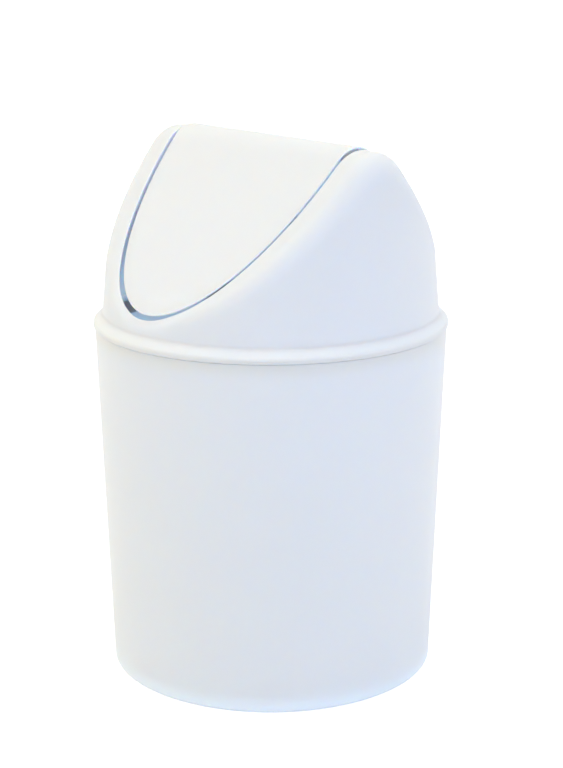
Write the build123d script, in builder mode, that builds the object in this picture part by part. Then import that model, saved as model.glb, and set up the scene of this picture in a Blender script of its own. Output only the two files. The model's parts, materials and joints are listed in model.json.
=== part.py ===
from build123d import *
import os
from math import cos, radians, tan

# Countertop bin with a lift-off lid and a two-sided swing flap, in millimetres.
# Z is up, and zero is the surface the bin stands on. X runs along the ridge of the lid, which is also
# the way the flap's hinge runs. The front is towards -Y, and the back mirrors it.

# ---- Bucket
base_radius = 92.3
shoulder_height = 197.9
bucket_wall = 2.0
bucket_floor = 2.2
base_rounding = 1.5
floor_rounding = 6.0
foot_ring_width = 7.0
foot_recess = 1.6
rim_rounding = 0.4

# ---- Band round the foot of the lid: a skirt with a sloping ledge, and a collar inside the bucket
skirt_radius = 100.0
skirt_height = 2.5
skirt_wall = 1.3
skirt_overhang = 0.8
skirt_gap = 0.4
skirt_edge_rounding = 0.5
rim_clearance = 0.3
neck_height = 2.2
ledge_width = 5.2
ledge_height = 5.1
ledge_rounding = 2.0
collar_wall = 1.6
collar_depth = 8.0
collar_clearance = 0.4

# ---- Dome of the lid: a slightly tapering drum under a gable roof
roof_slope = 46.7
eave_height = 5.9
dome_lean = 5.3
lid_wall = 1.8
foot_rounding = 2.0
frame_ridge_radius = 22.0
cheek_rounding = 12.5

# ---- Opening in the roof, and the lip that hangs from its edge
opening_half_width = 70.4
opening_half_depth = 92.0
opening_rounding = 0.5
lip_wall = 1.8
lip_depth = 6.0

# ---- Swing flap
flap_side_gap = 2.4
flap_end_gap = 2.4
flap_sink = 0.5
flap_wall = 1.8
flap_ridge_radius = 17.7
flap_rounding = 0.3
flap_bevel = 1.4
rib_inset = 6.0
rib_wall = 1.6
rib_depth = 6.0

# ---- Hinge: pins on the flap that turn in two brackets of the lid
pin_radius = 3.0
pin_clearance = 0.05
pin_overrun = 0.6
pin_chamfer = 0.5
lug_radius = 7.0
lug_thickness = 2.6
lug_inset = 2.4
spacer_radius = 4.6
spacer_clearance = 0.3
bracket_radius = 7.6
bracket_thickness = 2.6

# ---- Sizes that follow
bucket_top_radius = skirt_radius - skirt_overhang
neck_inner_radius = bucket_top_radius - bucket_wall
skirt_inner_radius = skirt_radius - skirt_wall
neck_radius = skirt_inner_radius - rim_clearance
skirt_bottom = shoulder_height + skirt_gap
skirt_top = skirt_bottom + skirt_height
ledge_top = skirt_top + ledge_height
rim_top = shoulder_height + neck_height
bucket_taper = (bucket_top_radius - base_radius) / shoulder_height
floor_top = foot_recess + bucket_floor
collar_bottom = rim_top - collar_depth
collar_radius = neck_inner_radius - bucket_taper * (shoulder_height - collar_bottom) - collar_clearance
collar_inner_radius = collar_radius - collar_wall
dome_foot_radius = skirt_radius - ledge_width
dome_inner_radius = dome_foot_radius - lid_wall
collar_top = ledge_top - (collar_inner_radius - dome_inner_radius) * ledge_height / ledge_width
dome_top_radius = dome_foot_radius - dome_lean
slope = radians(roof_slope)
peak_height = ledge_top + eave_height + dome_foot_radius * tan(slope)
pivot_height = peak_height - flap_sink - flap_ridge_radius / cos(slope)
flap_half_width = opening_half_width - flap_side_gap
flap_half_depth = opening_half_depth - flap_end_gap
lug_face = flap_half_width - lug_inset
bracket_face = opening_half_width
bracket_back = bracket_face + bracket_thickness
pin_end = bracket_back + pin_overrun


def gable(ridge_radius, drop):
    """Everything under a gable roof along X with a rounded ridge, lowered by drop."""
    peak = peak_height - drop
    half_base = (peak - ledge_top) / tan(slope)
    with BuildPart() as block:
        with BuildSketch(Plane.YZ) as section:
            with BuildLine():
                Polyline((-half_base, ledge_top), (0, peak), (half_base, ledge_top), close=True)
            make_face()
            fillet(section.vertices().sort_by(Axis.Y)[-1], ridge_radius)
        extrude(amount=skirt_radius, both=True)
    return block.part


def dome(inset):
    """The lid's dome as a solid, with every face moved inwards by inset."""
    with BuildPart() as drum:
        with BuildSketch(Plane.XZ):
            with BuildLine():
                foot = (dome_foot_radius - inset, ledge_top)
                top = (dome_top_radius - inset, peak_height)
                TangentArc(top, foot, tangent=(0, -1))
                Polyline(foot, (0, ledge_top), (0, peak_height), top)
            make_face()
        revolve(axis=Axis.Z)
        add(gable(frame_ridge_radius - inset, inset / cos(slope)), mode=Mode.INTERSECT)
        fillet(drum.edges().filter_by(GeomType.BSPLINE), cheek_rounding - inset)
    return drum.part


def hinge_plate(radius, face, thickness, roof):
    """A pair of upright plates round the hinge axis, from the axis up to the roof."""
    with BuildPart() as plates:
        with BuildSketch(Plane.YZ.offset(face)):
            with Locations((0, pivot_height)):
                Circle(radius)
                Rectangle(2 * radius, peak_height - pivot_height, align=(Align.CENTER, Align.MIN))
        extrude(amount=thickness)
        mirror(about=Plane.YZ)
        add(roof, mode=Mode.INTERSECT)
    return plates.part


# ---- Bucket: a tapered pail on a foot ring, with a thinner neck that the skirt goes over
with BuildPart() as bucket:
    with BuildSketch(Plane.XZ):
        with BuildLine():
            Polyline(
                (0, 0),
                (base_radius, 0),
                (bucket_top_radius, shoulder_height),
                (neck_radius, shoulder_height),
                (neck_radius, rim_top),
                (0, rim_top),
                close=True,
            )
        make_face()
    revolve(axis=Axis.Z)
    fillet(bucket.edges().group_by(Axis.Z)[0], base_rounding)
    with BuildSketch(Plane.XZ):
        with BuildLine():
            Polyline(
                (0, floor_top),
                (base_radius - bucket_wall + bucket_taper * floor_top, floor_top),
                (neck_inner_radius, shoulder_height),
                (neck_inner_radius, rim_top),
                (0, rim_top),
                close=True,
            )
        make_face()
    revolve(axis=Axis.Z, mode=Mode.SUBTRACT)
    fillet(bucket.faces().filter_by(GeomType.PLANE).sort_by(Axis.Z)[1].edges(), floor_rounding)
    with BuildSketch(Plane.XY):
        Circle(base_radius - foot_ring_width)
    extrude(amount=foot_recess, mode=Mode.SUBTRACT)
    fillet(bucket.edges().group_by(Axis.Z)[-1], rim_rounding)
bucket.part.label = "bucket"

# ---- Lid frame: collar, skirt, ledge and dome in one shell, with the roof opening, its lip and brackets
outer_dome = dome(0)

with BuildPart() as lip:
    with BuildSketch(Plane.XY.offset(ledge_top)):
        Ellipse(opening_half_width + lip_wall, opening_half_depth + lip_wall)
    extrude(amount=peak_height - ledge_top)
    add(gable(frame_ridge_radius, lip_depth), mode=Mode.SUBTRACT)

with BuildPart() as dome_hollow:
    add(dome(lid_wall))
    add(lip.part, mode=Mode.SUBTRACT)

with BuildPart() as lid_frame:
    with BuildSketch(Plane.XZ):
        with BuildLine():
            Polyline(
                (collar_inner_radius, collar_bottom),
                (collar_radius, collar_bottom),
                (collar_radius, rim_top),
                (skirt_inner_radius, rim_top),
                (skirt_inner_radius, skirt_bottom),
                (skirt_radius, skirt_bottom),
                (skirt_radius, skirt_top),
                (dome_foot_radius, ledge_top),
                (dome_inner_radius, ledge_top),
                (collar_inner_radius, collar_top),
                close=True,
            )
        make_face()
    revolve(axis=Axis.Z)
    rims = lid_frame.edges().filter_by(GeomType.CIRCLE).sort_by(SortBy.RADIUS)[-2:].sort_by(Axis.Z)
    fillet(rims[1], ledge_rounding)
    fillet(rims[0], skirt_edge_rounding)
    add(outer_dome)
    fillet(lid_frame.edges(Select.LAST).filter_by(GeomType.CIRCLE), foot_rounding)
    with BuildSketch(Plane.XY.offset(ledge_top)):
        Ellipse(opening_half_width, opening_half_depth)
    extrude(amount=peak_height - ledge_top, mode=Mode.SUBTRACT)
    fillet(lid_frame.edges(Select.LAST).filter_by(GeomType.BSPLINE), opening_rounding)
    add(dome_hollow.part, mode=Mode.SUBTRACT)
    add(hinge_plate(bracket_radius, bracket_face, bracket_thickness, outer_dome))
    with BuildSketch(Plane.YZ.offset(-bracket_back)):
        with Locations((0, pivot_height)):
            Circle(pin_radius + pin_clearance)
    extrude(amount=2 * bracket_back, mode=Mode.SUBTRACT)
lid_frame.part.label = "lid_frame"

# ---- Swing flap: two thin leaves over a rounded ridge, with a stiffening rib, hinge lugs and their pins
flap_underside = flap_sink + flap_wall / cos(slope)
flap_inner_ridge_radius = flap_ridge_radius - flap_wall
rib_half_width = flap_half_width - rib_inset
rib_half_depth = flap_half_depth - rib_inset
flap_middle = gable(flap_ridge_radius - flap_wall / 2, (flap_sink + flap_underside) / 2)

with BuildPart() as rib:
    with BuildSketch(Plane.XY.offset(ledge_top)):
        Ellipse(rib_half_width, rib_half_depth)
        Ellipse(rib_half_width - rib_wall, rib_half_depth - rib_wall, mode=Mode.SUBTRACT)
    extrude(amount=peak_height - ledge_top)
    add(flap_middle, mode=Mode.INTERSECT)
    add(gable(flap_inner_ridge_radius, rib_depth), mode=Mode.SUBTRACT)

with BuildPart() as hinge_pins:
    with BuildSketch(Plane.YZ.offset(lug_face)):
        with Locations((0, pivot_height)):
            Circle(pin_radius)
    extrude(amount=pin_end - lug_face)
    chamfer(hinge_pins.edges().sort_by(Axis.X)[-1], pin_chamfer)
    with BuildSketch(Plane.YZ.offset(lug_face)):
        with Locations((0, pivot_height)):
            Circle(spacer_radius)
    extrude(amount=bracket_face - spacer_clearance - lug_face)
    mirror(about=Plane.YZ)

with BuildPart() as swing_flap:
    with BuildSketch(Plane.XY.offset(ledge_top)):
        Ellipse(flap_half_width, flap_half_depth)
    extrude(amount=peak_height - ledge_top)
    add(gable(flap_ridge_radius, flap_sink), mode=Mode.INTERSECT)
    fillet(swing_flap.edges().filter_by(GeomType.BSPLINE), flap_rounding)
    add(gable(flap_inner_ridge_radius, flap_underside), mode=Mode.SUBTRACT)
    chamfer(swing_flap.edges(Select.LAST).filter_by(GeomType.BSPLINE), flap_bevel)
    add(rib.part)
    add(hinge_plate(lug_radius, lug_face - lug_thickness, lug_thickness, flap_middle))
    add(hinge_pins.part)
swing_flap.part.label = "swing_flap"

os.makedirs("parts", exist_ok=True)
for piece in (bucket, lid_frame, swing_flap):
    export_step(piece.part, f"parts/{piece.part.label}.step")
    print(piece.part.label, len(piece.part.solids()), round(piece.part.volume), piece.part.bounding_box())
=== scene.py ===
"""A countertop bin with a swing lid: the bucket, the lid frame, the two-sided flap and a plain studio."""

import json
from math import acos, cos, pi, radians, sin, sqrt, tan

import bmesh
import bpy
from bpy.props import FloatProperty, FloatVectorProperty, IntProperty, PointerProperty
from bpy.types import Operator, Panel, PropertyGroup
from mathutils import Matrix, Vector


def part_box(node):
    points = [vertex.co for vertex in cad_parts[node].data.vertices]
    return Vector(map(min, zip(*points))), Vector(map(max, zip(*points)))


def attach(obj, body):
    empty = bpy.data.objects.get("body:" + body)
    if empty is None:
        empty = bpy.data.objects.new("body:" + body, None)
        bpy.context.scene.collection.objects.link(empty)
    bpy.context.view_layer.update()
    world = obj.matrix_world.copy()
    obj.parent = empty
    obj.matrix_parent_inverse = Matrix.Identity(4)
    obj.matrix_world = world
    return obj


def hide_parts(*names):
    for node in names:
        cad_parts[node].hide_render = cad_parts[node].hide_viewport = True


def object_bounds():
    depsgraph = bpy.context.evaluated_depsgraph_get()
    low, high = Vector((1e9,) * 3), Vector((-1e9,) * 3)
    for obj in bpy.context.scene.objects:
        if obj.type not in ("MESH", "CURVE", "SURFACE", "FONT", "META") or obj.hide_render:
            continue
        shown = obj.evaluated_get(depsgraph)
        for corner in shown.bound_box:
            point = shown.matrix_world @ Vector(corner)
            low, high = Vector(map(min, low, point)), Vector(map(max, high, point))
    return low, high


bl_info = {
    "name": "Swing-Lid Bin",
    "version": (1, 0, 0),
    "blender": (4, 5, 0),
    "location": "3D View > Sidebar > Bin",
    "description": "Builds a countertop bin with a swing lid and a plain studio",
    "category": "Add Mesh",
}

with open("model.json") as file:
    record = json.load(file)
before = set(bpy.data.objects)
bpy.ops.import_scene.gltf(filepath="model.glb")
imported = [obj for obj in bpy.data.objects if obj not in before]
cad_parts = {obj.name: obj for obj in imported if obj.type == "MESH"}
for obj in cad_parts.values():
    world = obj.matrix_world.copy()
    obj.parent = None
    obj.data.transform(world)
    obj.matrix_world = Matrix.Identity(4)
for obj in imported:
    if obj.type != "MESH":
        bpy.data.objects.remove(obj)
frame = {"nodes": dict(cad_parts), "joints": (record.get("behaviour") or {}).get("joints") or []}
CAD_LOW, CAD_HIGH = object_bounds()
BUCKET_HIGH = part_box("bucket")[1]
FLAP_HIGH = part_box("swing_flap")[1]
FLAP_JOINT = next(joint for joint in frame["joints"] if joint["name"] == "flap_swing")
HINGE_HEIGHT = FLAP_JOINT["pos_m"][2]


# ---- Sizes, finishes and lamps that a user would change, in metres and watts

def length(name, description, default):
    return FloatProperty(
        name=name, description=description, default=default, min=0, precision=5,
        subtype="DISTANCE", unit="LENGTH",
    )


def count(name, description, default, least):
    return IntProperty(name=name, description=description, default=default, min=least)


def colour(name, description, default):
    return FloatVectorProperty(
        name=name, description=description, default=default, min=0, max=1, size=3, subtype="COLOR",
    )


def angle(name, description, default):
    return FloatProperty(
        name=name, description=description, default=radians(default), subtype="ANGLE", unit="ROTATION",
    )


def share(name, description, default):
    return FloatProperty(
        name=name, description=description, default=default, min=0, max=1, subtype="FACTOR",
    )


def number(name, description, default, least):
    return FloatProperty(name=name, description=description, default=default, min=least)


def watts(name, description, default):
    return FloatProperty(name=name, description=description, default=default, min=0, unit="POWER")


class BucketSizes(PropertyGroup):
    """Section of the tapered bucket."""

    base_radius: length("Base radius", "Outside radius where the bucket stands", 0.0923)
    top_radius: length("Top radius", "Outside radius under the lid", BUCKET_HIGH.x)
    shoulder_height: length("Shoulder height", "Height of the step under the lid's skirt", 0.1979)
    rim_height: length("Rim height", "Height of the neck's rim inside the lid", BUCKET_HIGH.z)
    neck_radius: length("Neck radius", "Outside radius of the neck inside the skirt", 0.0984)
    mouth_radius: length("Mouth radius", "Inside radius of the neck", 0.0972)
    wall: length("Wall", "Thickness of the side wall", 0.002)
    floor_top: length("Floor", "Height of the inside floor", 0.0038)
    floor_rounding: length("Floor rounding", "Radius between the floor and the wall", 0.006)
    foot_ring: length("Foot ring", "Width of the ring that the bucket stands on", 0.007)
    foot_recess: length("Foot recess", "Depth of the recess inside the ring", 0.0016)
    base_rounding: length("Base rounding", "Radius round the foot", 0.0015)
    segments: count("Segments", "Faces round the bucket", 216, 24)


class LidSizes(PropertyGroup):
    """Sizes of the lid frame that the finish of its walls follows."""

    opening_half_width: length("Opening half width", "Half of the opening along the ridge", 0.0704)
    opening_half_depth: length("Opening half depth", "Half of the opening across the ridge", 0.092)
    skirt_inside: length("Skirt inside", "Distance from the axis past which a wall is the skirt's", 0.098)


class FlapSizes(PropertyGroup):
    """Outline and section of the swing flap."""

    half_width: length("Half width", "Half of the flap along its hinge", 0.068)
    half_depth: length("Half depth", "Half of the flap's plan across its hinge", FLAP_HIGH.y)
    wall: length("Wall", "Thickness of the leaves", 0.0018)
    ridge_radius: length("Ridge radius", "Radius of the ridge, round the hinge", FLAP_HIGH.z - HINGE_HEIGHT)
    slope: angle("Slope", "Slope of the roof that the leaves lie in", 46.7)
    edge_rounding: length("Edge rounding", "Radius of the edge that shows", 0.0004)
    edge_depth: length("Edge depth", "Depth of the edge before its bevel", 0.00084)
    edge_bevel: length("Edge bevel", "Width of the bevel under the edge", 0.0012)
    rib_inset: length("Rib inset", "Distance from the edge to the stiffening rib", 0.006)
    rib_wall: length("Rib wall", "Thickness of the rib", 0.0016)
    rib_depth: length("Rib depth", "Depth of the rib below the outer face", 0.0038)
    segments: count("Segments", "Faces round the flap", 384, 48)


class HingeSizes(PropertyGroup):
    """Lugs, spacers and pins that the flap turns on."""

    lug_inside: length("Lug inside", "Distance from the middle to a lug's inner face", 0.063)
    lug_thickness: length("Lug thickness", "Thickness of a lug", 0.0026)
    lug_radius: length("Lug radius", "Radius of a lug round the pin", 0.007)
    spacer_radius: length("Spacer radius", "Radius of the boss between lug and bracket", 0.0046)
    spacer_end: length("Spacer end", "Distance from the middle to the boss's end", 0.0701)
    pin_radius: length("Pin radius", "Radius of a pin", 0.003)
    pin_end: length("Pin end", "Distance from the middle to a pin's tip", FLAP_HIGH.x)
    pin_chamfer: length("Pin chamfer", "Chamfer on a pin's tip", 0.0005)
    segments: count("Segments", "Faces round a pin", 48, 12)


class BinFinish(PropertyGroup):
    """White satin plastics of the moulded parts."""

    bucket_white: colour("Bucket white", "Colour of the bucket", (0.81, 0.868, 0.948))
    lid_white: colour("Lid white", "Colour of the lid frame", (0.81, 0.868, 0.948))
    flap_white: colour("Flap white", "Colour of the flap", (0.81, 0.868, 0.948))
    # Painted light: a paler white on the groove's inward walls, which lightens the shade in the groove.
    groove_painted_light: colour("Groove white", "Colour of the groove's walls round the flap", (0.92, 0.94, 0.97))
    clouding: share("Clouding", "How much lighter and darker the clouding is than the white", 0.01)
    flow_size: length("Flow size", "Size of the faint clouding from moulding", 0.05)
    roughness: share("Roughness", "How matt the plastic is", 0.42)
    unevenness: share("Unevenness", "How much more and less matt the grain makes it", 0.05)
    grain_size: length("Grain size", "Size of the mould's fine grain", 0.0006)
    grain_height: length("Grain height", "Height of the mould's fine grain", 0.00002)
    refraction: number("Refraction", "Refractive index of the plastic", 1.49, 1)
    translucency: share("Translucency", "How much light the thin wall lets in", 1.0)
    glow_depth: length("Glow depth", "How far light travels in the plastic", 0.008)
    glow_tint: colour("Glow tint", "Shares of the glow that red, green and blue have", (0.55, 0.72, 1.0))
    inner_glow: length("Inner glow", "How far light travels in the walls that face inwards", 0.02)
    inner_tint: colour("Inner tint", "Shares of the inner glow of red, green and blue", (0.3, 0.5, 1.0))
    groove_glow: length("Groove glow", "How far light travels in the groove's walls", 0.002)


class BinStudio(PropertyGroup):
    """Light round the bin and in it, and the floor under it."""

    sky: colour("Sky", "Colour of the light from all round", (0.955, 0.95, 0.915))
    sky_strength: number("Sky strength", "Strength of the light from all round", 0.97, 0)
    key: colour("Key", "Colour of the lamp at the upper left", (1.0, 0.805, 0.338))
    key_power: watts("Key power", "Power of the lamp at the upper left", 8.4)
    side: colour("Side", "Colour of the lamp at the right", (0.04, 0.27, 1.0))
    side_power: watts("Side power", "Power of the lamp at the right", 7.9)
    top: colour("Top", "Colour of the lamp overhead", (0.95, 1.0, 0.89))
    top_power: watts("Top power", "Power of the lamp overhead", 14.0)
    front: colour("Front", "Colour of the lamp by the camera", (0.05, 0.33, 1.0))
    front_power: watts("Front power", "Power of the lamp by the camera", 10.0)
    soaked: colour("Soaked", "Colour of the light that has soaked into the closed bin", (0.66, 0.7, 1.0))
    soaked_power: watts("Soaked power", "Power of the light that has soaked into the closed bin", 0.022)
    soaked_radius: length("Soaked radius", "Radius of the ball that this light comes from", 0.03)
    bounces: count("Bounces", "How often light is passed on from wall to wall", 8, 1)
    floor: colour("Floor", "Colour of the floor", (0.8, 0.8, 0.8))
    floor_glow: number("Floor glow", "How much lighter the floor shows than it is lit", 0.5, 0)
    floor_reach: length("Floor reach", "Distance from the middle to the floor's edges", 6.0)


# ---- Node trees

class NodeGraph:
    """A short way to add nodes to a tree and join them."""

    def __init__(self, tree):
        self.tree = tree

    def add(self, kind, **settings):
        node = self.tree.nodes.new(kind)
        for name, value in settings.items():
            setattr(node, name, value)
        return node

    def feed(self, socket, source):
        if isinstance(source, bpy.types.NodeSocket):
            self.tree.links.new(source, socket)
        else:
            socket.default_value = source

    def math(self, operation, *terms):
        node = self.add("ShaderNodeMath", operation=operation)
        for socket, term in zip(node.inputs, terms):
            self.feed(socket, term)
        return node.outputs[0]

    def vector_math(self, operation, result, *terms):
        node = self.add("ShaderNodeVectorMath", operation=operation)
        for socket, term in zip(node.inputs, terms):
            self.feed(socket, term)
        return node.outputs[result]

    def parts(self, vector):
        """The X, Y and Z of a vector."""
        node = self.add("ShaderNodeSeparateXYZ")
        self.feed(node.inputs[0], vector)
        return node.outputs

    def mix(self, kind, factor, first, second):
        """The first colour or vector where the factor is 0, and the second where it is 1."""
        node = self.add("ShaderNodeMix", data_type=kind)
        for name, source in (("Factor", factor), ("A", first), ("B", second)):
            self.feed(node.inputs[name], source)
        return node.outputs["Result"]

    def between(self, factor, first, second):
        """The first number where the factor is 0, and the second where it is 1."""
        node = self.add("ShaderNodeMapRange")
        for name, source in (("Value", factor), ("To Min", first), ("To Max", second)):
            self.feed(node.inputs[name], source)
        return node.outputs["Result"]

    def noise(self, place, size, detail):
        """Soft noise with lumps of about a size."""
        node = self.add("ShaderNodeTexNoise")
        for name, source in (("Vector", place), ("Scale", 1 / size), ("Detail", detail)):
            self.feed(node.inputs[name], source)
        return node.outputs["Fac"]


# ---- Geometry Nodes: sections swept round the axis, and laid on the roof

MERGE_DISTANCE = 1e-6


def sweep_graph(name, sizes):
    """A Geometry Nodes tree with a socket for each named size, and a grid whose rows follow a section.
    Gives the graph, the sizes' sockets, the grid, each grid point's place on the section, and its turn."""
    tree = bpy.data.node_groups.new(name, "GeometryNodeTree")
    tree.is_modifier = True
    tree.interface.new_socket("Section", in_out="INPUT", socket_type="NodeSocketGeometry")
    tree.interface.new_socket("Rows", in_out="INPUT", socket_type="NodeSocketInt")
    tree.interface.new_socket("Segments", in_out="INPUT", socket_type="NodeSocketInt")
    for size in sizes:
        tree.interface.new_socket(size, in_out="INPUT", socket_type="NodeSocketFloat")
    tree.interface.new_socket("Plastic", in_out="INPUT", socket_type="NodeSocketMaterial")
    tree.interface.new_socket("Piece", in_out="OUTPUT", socket_type="NodeSocketGeometry")
    graph = NodeGraph(tree)
    given = graph.add("NodeGroupInput").outputs
    columns = graph.math("ADD", given["Segments"], 1)
    grid = graph.add("GeometryNodeMeshGrid")
    graph.feed(grid.inputs["Vertices X"], given["Rows"])
    graph.feed(grid.inputs["Vertices Y"], columns)
    index = graph.add("GeometryNodeInputIndex").outputs[0]
    half_step = 0.5  # so that a whole number isn't rounded down to the row before
    row = graph.math("FLOOR", graph.math("DIVIDE", graph.math("ADD", index, half_step), columns))
    column = graph.math("SUBTRACT", index, graph.math("MULTIPLY", row, columns))
    turn = graph.math("MULTIPLY", graph.math("DIVIDE", column, given["Segments"]), 2 * pi)
    sample = graph.add("GeometryNodeSampleIndex", data_type="FLOAT_VECTOR", domain="POINT")
    graph.feed(sample.inputs["Geometry"], given["Section"])
    graph.feed(sample.inputs["Value"], graph.add("GeometryNodeInputPosition").outputs[0])
    graph.feed(sample.inputs["Index"], row)
    return graph, given, grid.outputs["Mesh"], graph.parts(sample.outputs["Value"]), turn


def close_sweep(graph, given, mesh, x, y, z):
    """Moves the grid's points to x, y, z, closes the seam and ends, and gives the piece its plastic."""
    point = graph.add("ShaderNodeCombineXYZ")
    for socket, value in zip(point.inputs, (x, y, z)):
        graph.feed(socket, value)
    moved = graph.add("GeometryNodeSetPosition")
    graph.feed(moved.inputs["Geometry"], mesh)
    graph.feed(moved.inputs["Position"], point.outputs[0])
    merged = graph.add("GeometryNodeMergeByDistance")
    graph.feed(merged.inputs["Geometry"], moved.outputs[0])
    graph.feed(merged.inputs["Distance"], MERGE_DISTANCE)
    smooth = graph.add("GeometryNodeSetShadeSmooth")
    graph.feed(smooth.inputs["Geometry"], merged.outputs[0])
    real = graph.add("GeometryNodeRealizeInstances")
    graph.feed(real.inputs["Geometry"], smooth.outputs[0])
    dressed = graph.add("GeometryNodeSetMaterial")
    graph.feed(dressed.inputs["Geometry"], real.outputs[0])
    graph.feed(dressed.inputs["Material"], given["Plastic"])
    graph.feed(graph.add("NodeGroupOutput").inputs["Piece"], dressed.outputs[0])
    return graph.tree


def turned_tree():
    """A section turned round the Z axis: X is the distance from the axis, and Z the height."""
    graph, given, mesh, place, turn = sweep_graph("turned section", ())
    x = graph.math("MULTIPLY", place["X"], graph.math("COSINE", turn))
    y = graph.math("MULTIPLY", place["X"], graph.math("SINE", turn))
    return close_sweep(graph, given, mesh, x, y, place["Z"])


def roof_tree():
    """A section carried round an oval plan and laid on a gable roof with a rounded ridge.
    X is the distance in from the oval, and Z the depth below the roof, square to it. The oval's longer
    half gathers to the middle as X nears its shorter half, so that the rows end in one point."""
    sizes = ("Half Width", "Half Depth", "Hinge Height", "Ridge Radius", "Slope")
    gather_power = 4  # the higher, the nearer to the middle the rows gather
    graph, given, mesh, place, turn = sweep_graph("roof section", sizes)
    across = graph.math("SUBTRACT", given["Half Width"], place["X"])
    longer = graph.math("SUBTRACT", given["Half Depth"], given["Half Width"])
    inwards = graph.math("DIVIDE", place["X"], given["Half Width"])
    gather = graph.math("MULTIPLY", longer, graph.math("POWER", inwards, gather_power))
    along = graph.math("SUBTRACT", graph.math("SUBTRACT", given["Half Depth"], place["X"]), gather)
    x = graph.math("MULTIPLY", across, graph.math("COSINE", turn))
    y = graph.math("MULTIPLY", along, graph.math("SINE", turn))
    radius = graph.math("SUBTRACT", given["Ridge Radius"], place["Z"])
    away = graph.math("ABSOLUTE", y)
    left = graph.math("SUBTRACT", graph.math("POWER", radius, 2), graph.math("POWER", away, 2))
    arc = graph.math("SQRT", graph.math("MAXIMUM", left, 0))
    ridge = graph.math("DIVIDE", radius, graph.math("COSINE", given["Slope"]))
    fall = graph.math("MULTIPLY", away, graph.math("TANGENT", given["Slope"]))
    leaf = graph.math("SUBTRACT", ridge, fall)
    arc_end = graph.math("MULTIPLY", radius, graph.math("SINE", given["Slope"]))
    on_leaf = graph.math("GREATER_THAN", away, arc_end)
    drop = graph.math("MULTIPLY", graph.math("SUBTRACT", leaf, arc), on_leaf)
    z = graph.math("ADD", given["Hinge Height"], graph.math("ADD", arc, drop))
    return close_sweep(graph, given, mesh, x, y, z)


def linked(name, data):
    """A new object in the scene for a mesh, lamp or camera."""
    made = bpy.data.objects.new(name, data)
    bpy.context.scene.collection.objects.link(made)
    return made


def swept(name, section, tree, segments, sizes, plastic):
    """A plain mesh object: the section's points, with the tree's rule applied to them."""
    mesh = bpy.data.meshes.new(name + "_section")
    points = [(x, 0, z) for x, z in section]
    mesh.from_pydata(points, [(i, i + 1) for i in range(len(points) - 1)], [])
    source = linked(name + "_section", mesh)
    modifier = source.modifiers.new("rule", "NODES")
    modifier.node_group = tree
    values = {"Rows": len(section), "Segments": segments, "Plastic": plastic, **sizes}
    for item in tree.interface.items_tree:
        if item.in_out == "INPUT" and item.name in values:
            modifier[item.identifier] = values[item.name]
    bpy.context.view_layer.update()
    evaluated = source.evaluated_get(bpy.context.evaluated_depsgraph_get())
    made = bpy.data.meshes.new_from_object(evaluated)
    bpy.data.objects.remove(source)
    bpy.data.meshes.remove(mesh)
    if not made.polygons:
        raise RuntimeError(name + " came out empty")
    made.name = name
    face_outwards(made)
    return linked(name, made)


def face_outwards(mesh):
    """Turns every face of a closed mesh outwards."""
    shell = bmesh.new()
    shell.from_mesh(mesh)
    open_edges = [edge for edge in shell.edges if len(edge.link_faces) != 2]
    if open_edges:
        raise RuntimeError(mesh.name + " doesn't close at " + str(open_edges[0].verts[0].co))
    bmesh.ops.recalc_face_normals(shell, faces=shell.faces)
    shell.to_mesh(mesh)
    shell.free()


# ---- Sections

def rounded_section(corners, steps, spacing, guard):
    """Points along a section. Each corner is (across, up, rounding), and a rounding gets so many steps.
    A run has a point at the guard's distance from each end, so that a rounding's shading stays on the
    rounding, and a point for each spacing."""
    shortest_run = 4 * guard
    places = [Vector(corner[:2]) for corner in corners]
    arcs = []
    for i, (place, (_, _, rounding)) in enumerate(zip(places, corners)):
        if i in (0, len(corners) - 1) or not rounding:
            arcs.append([place])
            continue
        back = (places[i - 1] - place).normalized()
        onward = (places[i + 1] - place).normalized()
        half = acos(max(-1, min(1, back.dot(onward)))) / 2
        centre = place + (back + onward).normalized() * rounding / sin(half)
        start = place + back * rounding / tan(half)
        end = place + onward * rounding / tan(half)
        first, last = (start - centre).normalized(), (end - centre).normalized()
        arcs.append([centre + first.slerp(last, step / steps) * rounding for step in range(steps + 1)])
    points = []
    for arc, following in zip(arcs, arcs[1:] + [None]):
        points += arc
        if following is None:
            break
        start, end = arc[-1], following[0]
        run = (end - start).length
        direction = (end - start).normalized()
        if run > shortest_run:
            parts = max(1, round(run / spacing))
            points += [start + direction * guard] * (len(arc) > 1)
            points += [start + direction * run * part / parts for part in range(1, parts)]
            points += [end - direction * guard] * (len(following) > 1)
    return [(point.x, point.y) for point in points]


def bucket_section(sizes):
    """The bucket's section, from the middle of its underside out, up and back down inside."""
    taper = (sizes.top_radius - sizes.base_radius) / sizes.shoulder_height
    inner_foot = sizes.base_radius - sizes.wall + taper * sizes.floor_top
    recess_radius = sizes.base_radius - sizes.foot_ring
    edge, lip, soft = 0.00025, 0.0004, 0.0006
    return rounded_section(
        (
            (0, sizes.foot_recess, 0),
            (recess_radius, sizes.foot_recess, soft),
            (recess_radius, 0, soft),
            (sizes.base_radius, 0, sizes.base_rounding),
            (sizes.top_radius, sizes.shoulder_height, edge),
            (sizes.neck_radius, sizes.shoulder_height, edge),
            (sizes.neck_radius, sizes.rim_height, lip),
            (sizes.mouth_radius, sizes.rim_height, lip),
            (sizes.mouth_radius, sizes.shoulder_height, 0),
            (inner_foot, sizes.floor_top, sizes.floor_rounding),
            (0, sizes.floor_top, 0),
        ),
        steps=8, spacing=0.012, guard=0.0003,
    )


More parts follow.
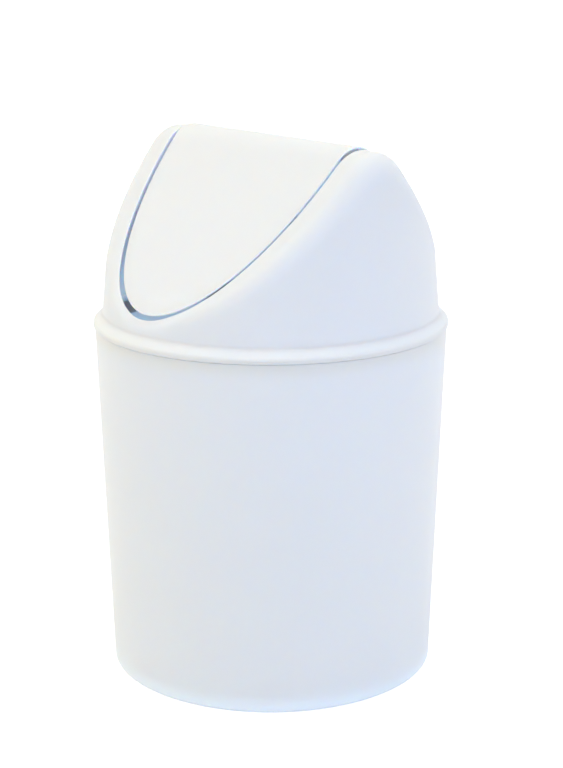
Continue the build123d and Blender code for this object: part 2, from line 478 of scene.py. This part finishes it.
def flap_section(sizes):
    """The flap's section, from the middle of its top out to the edge, and back under the rib."""
    edge, soft, ridge_step, ridge_steps = 0.0002, 0.0004, 0.0011, 14
    rib_inside = sizes.rib_inset + sizes.rib_wall
    ridge = [sizes.half_width - ridge_step * step for step in range(ridge_steps)]
    return rounded_section(
        (
            *((inset, 0, 0) for inset in ridge),
            (0, 0, sizes.edge_rounding),
            (0, sizes.edge_depth, edge),
            (sizes.edge_bevel, sizes.wall, soft),
            (sizes.rib_inset, sizes.wall, soft),
            (sizes.rib_inset, sizes.rib_depth, soft),
            (rib_inside, sizes.rib_depth, soft),
            (rib_inside, sizes.wall, soft),
            *((inset, sizes.wall, 0) for inset in reversed(ridge)),
        ),
        steps=6, spacing=0.004, guard=0.00025,
    )


def pin_section(sizes):
    """The boss and pin of the hinge, from the lug out to the pin's tip."""
    edge = 0.0003
    root = sizes.lug_inside + sizes.lug_thickness / 2
    return rounded_section(
        (
            (0, root, 0),
            (sizes.spacer_radius, root, edge),
            (sizes.spacer_radius, sizes.spacer_end, edge),
            (sizes.pin_radius, sizes.spacer_end, edge),
            (sizes.pin_radius, sizes.pin_end - sizes.pin_chamfer, edge / 2),
            (sizes.pin_radius - sizes.pin_chamfer, sizes.pin_end, edge / 2),
            (0, sizes.pin_end, 0),
        ),
        steps=4, spacing=0.004, guard=0.0001,
    )


# ---- Plastic, and the masks of its walls

# Cosines: a wall faces inwards where the one between its normal and the way out from the axis is below
# the first, and it is the flap's edge or underside where the one with the way up is below the second.
INWARD_TURN = -0.1
UNDERSIDE_TURN = 0.35
# Shares of an oval: a wall is the groove's within the first share of the opening's oval, on the lid, and
# # past the second share of the flap's own, on the flap. The groove's inward walls get painted light there.
LIP_SHARE = 1.005
EDGE_SHARE = 0.975


def oval_share(graph, point, half_width, half_depth):
    """How far out a point's plan is, as a share of an oval."""
    plan = graph.parts(point)
    across = graph.math("POWER", graph.math("DIVIDE", plan["X"], half_width), 2)
    along = graph.math("POWER", graph.math("DIVIDE", plan["Y"], half_depth), 2)
    return graph.math("SQRT", graph.math("ADD", across, along))


def faces_axis(graph, given):
    """1 on the walls that face the bin's axis inside its skirt, and 0 elsewhere."""
    plan = graph.vector_math("MULTIPLY", "Vector", given["Object"], (1, 1, 0))
    outwards = graph.vector_math("NORMALIZE", "Vector", plan)
    turn = graph.vector_math("DOT_PRODUCT", "Value", outwards, given["Normal"])
    radius = graph.vector_math("LENGTH", "Value", plan)
    within = graph.math("LESS_THAN", radius, bpy.context.scene.bin_lid.skirt_inside)
    return graph.math("MULTIPLY", within, graph.math("LESS_THAN", turn, INWARD_TURN))


def bucket_walls(graph, given):
    """Masks of the bucket's inner walls, and of the groove's, of which it has none."""
    return faces_axis(graph, given), 0.0


def lid_walls(graph, given):
    """Masks of the lid's inner walls, and of the lip round the opening."""
    lid = bpy.context.scene.bin_lid
    reach = oval_share(graph, given["Object"], lid.opening_half_width, lid.opening_half_depth)
    return faces_axis(graph, given), graph.math("LESS_THAN", reach, LIP_SHARE)


def flap_walls(graph, given):
    """Masks of the flap's edge and underside, and of its edge alone."""
    flap = bpy.context.scene.bin_flap
    reach = oval_share(graph, given["Object"], flap.half_width, flap.half_depth)
    turn = graph.parts(given["Normal"])["Z"]
    return graph.math("LESS_THAN", turn, UNDERSIDE_TURN), graph.math("GREATER_THAN", reach, EDGE_SHARE)


def satin_plastic(name, white, finish, walls):
    """Moulded plastic: a fine grain, faint clouding, and walls that light can soak into. The walls that
    face inwards have a glow of their own, and the groove's get painted light too, a paler white that
    lightens the groove's shade, by the masks that walls gives."""
    flow_detail, grain_detail = 2.0, 3.0
    material = bpy.data.materials.new(name)
    material.use_nodes = True
    graph = NodeGraph(material.node_tree)
    plastic = graph.tree.nodes["Principled BSDF"].inputs
    given = graph.add("ShaderNodeTexCoord").outputs
    inner, groove = walls(graph, given)

    flow = graph.noise(given["Object"], finish.flow_size, flow_detail)
    darker = [(1 - finish.clouding) * part for part in white]
    lighter = [min(1, (1 + finish.clouding) * part) for part in white]
    clouds = graph.mix("RGBA", flow, (*darker, 1), (*lighter, 1))
    # Painted light: the groove's inward walls take the paler groove colour, which lightens the groove's
    # shade.
    painted_groove_light_mask = graph.math("MULTIPLY", inner, groove)
    tint = graph.mix("RGBA", painted_groove_light_mask, clouds, (*finish.groove_painted_light, 1))
    graph.feed(plastic["Base Color"], tint)

    inner_glow = graph.between(groove, finish.inner_glow, finish.groove_glow)
    graph.feed(plastic["Subsurface Scale"], graph.between(inner, finish.glow_depth, inner_glow))
    spread = graph.mix("VECTOR", inner, tuple(finish.glow_tint), tuple(finish.inner_tint))
    graph.feed(plastic["Subsurface Radius"], spread)
    graph.feed(plastic["Subsurface Weight"], finish.translucency)

    grain = graph.noise(given["Object"], finish.grain_size, grain_detail)
    smoother, rougher = finish.roughness - finish.unevenness, finish.roughness + finish.unevenness
    graph.feed(plastic["Roughness"], graph.between(grain, smoother, rougher))
    relief = graph.add("ShaderNodeBump")
    for socket, source in (("Height", grain), ("Strength", 1.0), ("Distance", finish.grain_height)):
        graph.feed(relief.inputs[socket], source)
    graph.feed(plastic["Normal"], relief.outputs["Normal"])
    graph.feed(plastic["IOR"], finish.refraction)
    return material


# ---- Pieces

class BIN_OT_bucket(Operator):
    """Make the tapered bucket with its foot ring and neck"""

    bl_idname = "bin.bucket"
    bl_label = "Bucket"

    def execute(self, context):
        sizes, finish = context.scene.bin_bucket, context.scene.bin_finish
        plastic = satin_plastic("bucket plastic", finish.bucket_white, finish, bucket_walls)
        section = bucket_section(sizes)
        shell = swept("bucket_shell", section, turned_tree(), sizes.segments, {}, plastic)
        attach(shell, "bucket")
        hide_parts("bucket")
        return {"FINISHED"}


class BIN_OT_lid_frame(Operator):
    """Finish the lid frame: its skirt, ledge, dome, lip and hinge brackets"""

    bl_idname = "bin.lid_frame"
    bl_label = "Lid frame"

    def execute(self, context):
        finish = context.scene.bin_finish
        lid = frame["nodes"]["lid_frame"]
        lid.data.materials.clear()
        lid.data.materials.append(satin_plastic("lid plastic", finish.lid_white, finish, lid_walls))
        return {"FINISHED"}


class BIN_OT_swing_flap(Operator):
    """Make the swing flap: two leaves over a rounded ridge, their rib, and the hinge"""

    bl_idname = "bin.swing_flap"
    bl_label = "Swing flap"

    def execute(self, context):
        sizes, finish = context.scene.bin_flap, context.scene.bin_finish
        plastic = satin_plastic("flap plastic", finish.flap_white, finish, flap_walls)
        roof = {
            "Half Width": sizes.half_width,
            "Half Depth": sizes.half_depth,
            "Hinge Height": HINGE_HEIGHT,
            "Ridge Radius": sizes.ridge_radius,
            "Slope": sizes.slope,
        }
        leaves = swept("flap_leaves", flap_section(sizes), roof_tree(), sizes.segments, roof, plastic)
        hinge = flap_hinge(context.scene.bin_hinge, sizes, plastic)
        for piece in (leaves, hinge):
            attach(piece, "flap")
            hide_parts("swing_flap")
        return {"FINISHED"}


def flap_hinge(sizes, flap, plastic):
    """Both lugs under the ridge, each with its boss and pin, as one mesh."""
    pin = swept("hinge_pin", pin_section(sizes), turned_tree(), sizes.segments, {}, plastic)
    to_hinge = Matrix.Translation((0, 0, HINGE_HEIGHT))
    form = bmesh.new()
    for side in (1, -1):
        made = pin.data.copy()
        made.transform(to_hinge @ Matrix.Rotation(side * pi / 2, 4, "Y"))
        form.from_mesh(made)
        bpy.data.meshes.remove(made)
        add_lug(form, sizes, flap, side)
    bpy.data.objects.remove(pin)
    mesh = bpy.data.meshes.new("flap_hinge")
    form.to_mesh(mesh)
    form.free()
    mesh.materials.append(plastic)
    for face in mesh.polygons:
        face.material_index = 0
    return linked("flap_hinge", mesh)


def add_lug(form, sizes, flap, side):
    """A plate round the pin that reaches up into the leaves' wall: half a circle round the pin, and an arc
    inside the wall over the ridge."""
    steps = 24
    reach = flap.ridge_radius - flap.wall / 2
    outline = []
    for step in range(steps + 1):
        turn = pi + pi * step / steps
        outline.append((sizes.lug_radius * cos(turn), sizes.lug_radius * sin(turn)))
    spread = acos(sqrt(reach ** 2 - sizes.lug_radius ** 2) / reach)
    for step in range(steps + 1):
        turn = spread - 2 * spread * step / steps
        outline.append((reach * sin(turn), reach * cos(turn)))
    inside = side * sizes.lug_inside
    thickness = side * sizes.lug_thickness
    near = [form.verts.new((inside, y, HINGE_HEIGHT + z)) for y, z in outline]
    far = [form.verts.new((inside + thickness, y, HINGE_HEIGHT + z)) for y, z in outline]
    faces = [form.faces.new(near), form.faces.new(far[::-1])]
    for i in range(len(outline)):
        following = (i + 1) % len(outline)
        faces.append(form.faces.new((near[following], near[i], far[i], far[following])))
    bmesh.ops.recalc_face_normals(form, faces=faces)


# ---- Studio

WHITE = (1, 1, 1, 1)
# Where each lamp stands, and its width. Its colour and power are in BinStudio, under its name.
LAMPS = {
    "key": ((-1.0, -1.6, 2.2), 1.2),
    "side": ((2.2, 0.6, 0.9), 1.6),
    "top": ((0.0, 0.0, 3.0), 1.6),
    "front": ((1.6, -1.5, 1.0), 1.2),
}
CAMERA_PLACE = (0.76683, -0.69046, 0.44036)
CAMERA_TURN = (radians(74.8615), radians(0.096), radians(47.6481))
CAMERA_LENS = 87.75
CAMERA_SENSOR = 36


def seen_directly(graph):
    """1 for camera, glossy and transmission rays, and 0 for the light that falls on the bin."""
    path = graph.add("ShaderNodeLightPath").outputs
    seen = graph.math("MAXIMUM", path["Is Camera Ray"], path["Is Glossy Ray"])
    return graph.math("MAXIMUM", seen, path["Is Transmission Ray"])


def studio_sky(studio):
    """Soft light from all round, in front of a white background."""
    world = bpy.data.worlds.new("studio sky")
    bpy.context.scene.world = world
    world.use_nodes = True
    graph = NodeGraph(world.node_tree)
    graph.tree.nodes.clear()
    lit = graph.add("ShaderNodeBackground")
    graph.feed(lit.inputs["Color"], (*studio.sky, 1))
    graph.feed(lit.inputs["Strength"], studio.sky_strength)
    white = graph.add("ShaderNodeBackground")
    graph.feed(white.inputs["Color"], WHITE)
    mixed = graph.add("ShaderNodeMixShader")
    graph.feed(mixed.inputs["Fac"], seen_directly(graph))
    graph.feed(mixed.inputs[1], lit.outputs[0])
    graph.feed(mixed.inputs[2], white.outputs[0])
    graph.feed(graph.add("ShaderNodeOutputWorld").inputs["Surface"], mixed.outputs[0])


def studio_floor(studio):
    """A wide pale floor that shows as white and keeps the bin's shadow."""
    reach = studio.floor_reach
    mesh = bpy.data.meshes.new("floor")
    corners = [(-reach, -reach, 0), (reach, -reach, 0), (reach, reach, 0), (-reach, reach, 0)]
    mesh.from_pydata(corners, [], [(0, 1, 2, 3)])
    material = bpy.data.materials.new("pale floor")
    material.use_nodes = True
    graph = NodeGraph(material.node_tree)
    graph.tree.nodes.clear()
    pale = graph.add("ShaderNodeBsdfDiffuse")
    graph.feed(pale.inputs["Color"], (*studio.floor, 1))
    glow = graph.add("ShaderNodeEmission")
    graph.feed(glow.inputs["Strength"], graph.math("MULTIPLY", seen_directly(graph), studio.floor_glow))
    both = graph.add("ShaderNodeAddShader")
    graph.feed(both.inputs[0], pale.outputs[0])
    graph.feed(both.inputs[1], glow.outputs[0])
    graph.feed(graph.add("ShaderNodeOutputMaterial").inputs["Surface"], both.outputs[0])
    mesh.materials.append(material)
    linked("floor", mesh)


def round_lamp(name, place, width, tint, power):
    """A soft round lamp aimed at the middle of the bin."""
    data = bpy.data.lights.new(name, "AREA")
    data.shape = "DISK"
    data.size = width
    data.energy = power
    data.color = tint
    middle = (Vector(CAD_LOW) + Vector(CAD_HIGH)) / 2
    lamp = linked(name, data)
    lamp.location = place
    lamp.rotation_euler = (middle - Vector(place)).to_track_quat("-Z", "Y").to_euler()


def soaked_light(studio):
    """The faint light inside the closed bin, which its walls let in. The lamp itself doesn't show."""
    data = bpy.data.lights.new("soaked", "POINT")
    data.shadow_soft_size = studio.soaked_radius
    data.energy = studio.soaked_power
    data.color = studio.soaked
    lamp = linked("soaked", data)
    lamp.location = (0, 0, BUCKET_HIGH.z)
    lamp.visible_camera = False
    lamp.visible_glossy = False


def studio_camera():
    """The camera, at the height and angle of a product shot."""
    data = bpy.data.cameras.new("camera")
    data.lens = CAMERA_LENS
    data.sensor_width = CAMERA_SENSOR
    camera = linked("camera", data)
    camera.location = CAMERA_PLACE
    camera.rotation_euler = CAMERA_TURN
    bpy.context.scene.camera = camera


class BIN_OT_studio(Operator):
    """Set up the floor, the lamps, the sky and the camera"""

    bl_idname = "bin.studio"
    bl_label = "Studio"

    def execute(self, context):
        studio = context.scene.bin_studio
        studio_sky(studio)
        studio_floor(studio)
        for name, (place, width) in LAMPS.items():
            round_lamp(name, place, width, getattr(studio, name), getattr(studio, name + "_power"))
        soaked_light(studio)
        studio_camera()
        context.scene.cycles.diffuse_bounces = studio.bounces
        context.scene.view_settings.view_transform = "Standard"
        return {"FINISHED"}


class BIN_PT_sidebar(Panel):
    """The bin's pieces, in the order that they are made"""

    bl_idname = "BIN_PT_sidebar"
    bl_label = "Swing-Lid Bin"
    bl_space_type = "VIEW_3D"
    bl_region_type = "UI"
    bl_category = "Bin"

    def draw(self, context):
        for operator in OPERATORS:
            self.layout.operator(operator.bl_idname)
        for group, kind in GROUPS.items():
            box = self.layout.box()
            box.label(text=kind.__doc__)
            values = getattr(context.scene, group)
            for name in values.bl_rna.properties.keys():
                if name not in ("rna_type", "name"):
                    box.prop(values, name)


GROUPS = {
    "bin_bucket": BucketSizes,
    "bin_lid": LidSizes,
    "bin_flap": FlapSizes,
    "bin_hinge": HingeSizes,
    "bin_finish": BinFinish,
    "bin_studio": BinStudio,
}
OPERATORS = (BIN_OT_bucket, BIN_OT_lid_frame, BIN_OT_swing_flap, BIN_OT_studio)


def register():
    for kind in (*GROUPS.values(), *OPERATORS, BIN_PT_sidebar):
        bpy.utils.register_class(kind)
    for name, kind in GROUPS.items():
        setattr(bpy.types.Scene, name, PointerProperty(type=kind))


def unregister():
    for name in GROUPS:
        delattr(bpy.types.Scene, name)
    for kind in reversed((*GROUPS.values(), *OPERATORS, BIN_PT_sidebar)):
        bpy.utils.unregister_class(kind)


def main():
    """Makes every piece and the studio."""
    register()
    bpy.ops.bin.bucket()
    bpy.ops.bin.lid_frame()
    bpy.ops.bin.swing_flap()
    bpy.ops.bin.studio()


if __name__ == "__main__":
    main()
